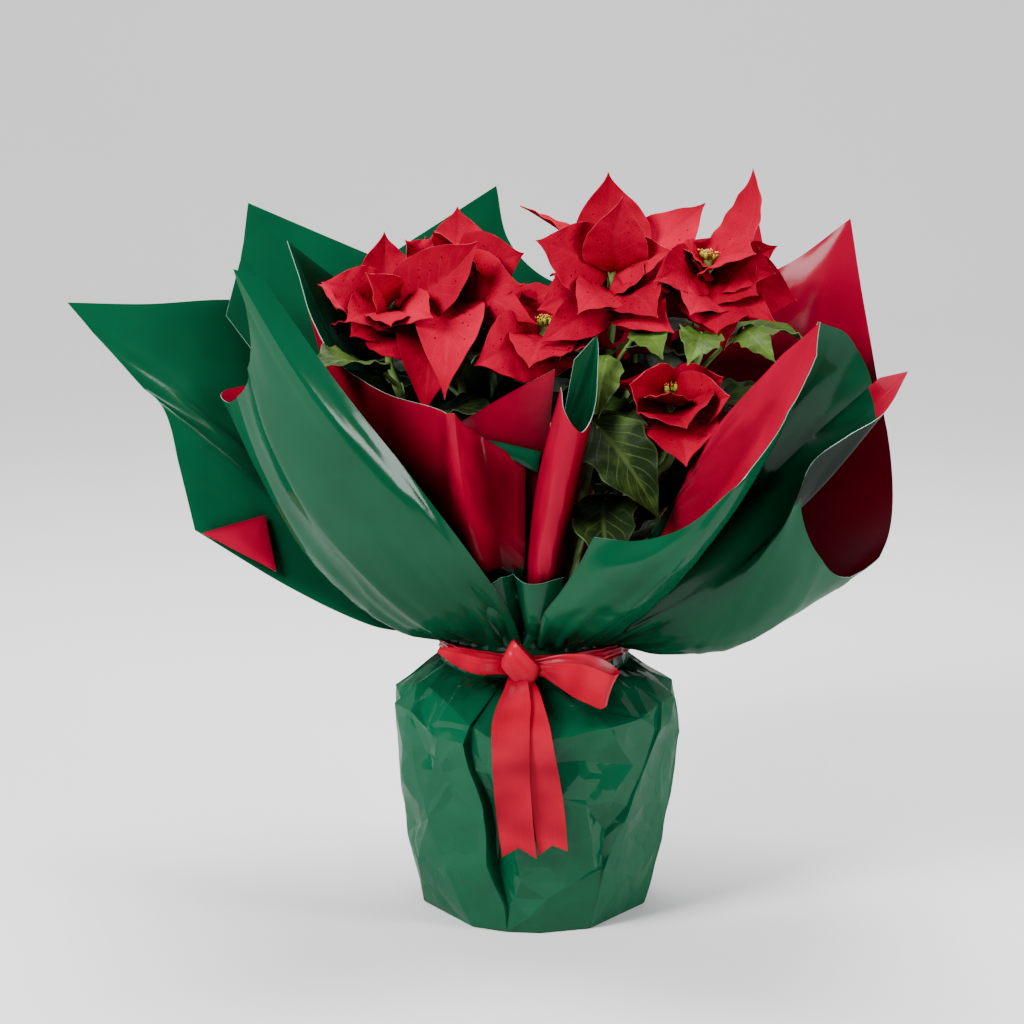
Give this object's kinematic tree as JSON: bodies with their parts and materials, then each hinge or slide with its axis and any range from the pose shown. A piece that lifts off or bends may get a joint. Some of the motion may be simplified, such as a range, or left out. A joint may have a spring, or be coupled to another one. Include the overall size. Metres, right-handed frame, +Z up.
{
  "type": "poinsettia",
  "caption": "Potted poinsettia with red bracts and green leaves, gathered in flared two-tone film and tied at the neck with a red satin ribbon.",
  "frame": {"origin": "middle of the wrapped pot's flat underside", "axes": "+Z up, -Y the front, where the ribbon's knot and tails are"},
  "size_m": [0.5122, 0.2895, 0.444],
  "materials": {
    "film": "gloss",
    "satin": "satin",
    "pot": "matte",
    "peat": "matte",
    "leaf": "satin",
    "bract": "satin",
    "cyathia": "satin"
  },
  "bodies": {
    "root": {"wrap_film": "film", "ribbon": "satin", "nursery_pot": "pot", "growing_medium": "peat", "leafy_stem_left": "leaf", "bloom_left": "bract", "cyathia_left": "cyathia", "leafy_stem_middle": "leaf", "bloom_middle": "bract", "cyathia_middle": "cyathia", "leafy_stem_low_middle": "leaf", "bloom_low_middle": "bract", "cyathia_low_middle": "cyathia", "leafy_stem_top_right": "leaf", "bloom_top_right": "bract", "cyathia_top_right": "cyathia", "leafy_stem_far_right": "leaf", "bloom_far_right": "bract", "cyathia_far_right": "cyathia", "leafy_stem_low_right": "leaf", "bloom_low_right": "bract", "cyathia_low_right": "cyathia", "leafy_stem_back_left": "leaf", "bloom_back_left": "bract", "cyathia_back_left": "cyathia", "leafy_stem_back_right": "leaf", "bloom_back_right": "bract", "cyathia_back_right": "cyathia"}
  },
  "joints": []
}
